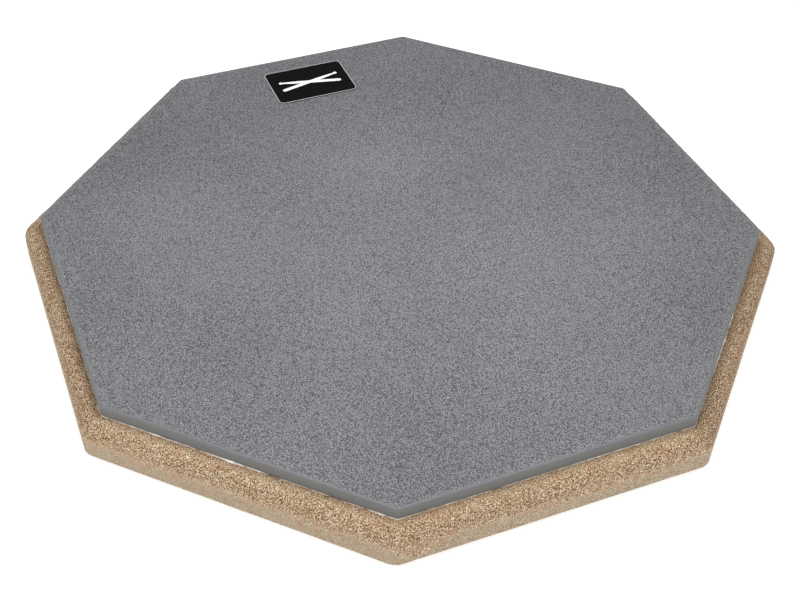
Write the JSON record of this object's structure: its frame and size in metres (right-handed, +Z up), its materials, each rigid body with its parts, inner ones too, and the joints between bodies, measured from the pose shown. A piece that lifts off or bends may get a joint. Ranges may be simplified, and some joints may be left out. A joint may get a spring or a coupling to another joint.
{
  "type": "practice pad",
  "caption": "Octagonal drum practice pad: a grey rubber playing sheet on a fibreboard base, with a non-slip underside and a threaded hole for a stand.",
  "frame": {"origin": "under the middle of the pad, on the surface it stands on", "axes": "+Z up out of the playing surface; the label is on the +Y side; two of the flats face +X and +Y"},
  "size_m": [0.305, 0.305, 0.023],
  "materials": {
    "fibreboard": "raw fibreboard, routed edge",
    "grey_rubber": "matt, fine grain",
    "contact_adhesive": "dried adhesive",
    "black_foam_rubber": "matt, fine closed cells",
    "tape_adhesive": "satin",
    "plated_insert": "yellow zinc plating",
    "black_film": "satin",
    "pale_ink": "printed",
    "white_ink": "printed"
  },
  "bodies": {
    "root": {"base_board": "fibreboard", "playing_surface": "grey_rubber", "playing_surface_adhesive": "contact_adhesive", "non_slip_backing": "black_foam_rubber", "backing_adhesive": "tape_adhesive", "threaded_insert": "plated_insert", "label_adhesive": "tape_adhesive", "label_film": "black_film", "label_border": "pale_ink", "label_mark": "white_ink"}
  },
  "joints": []
}
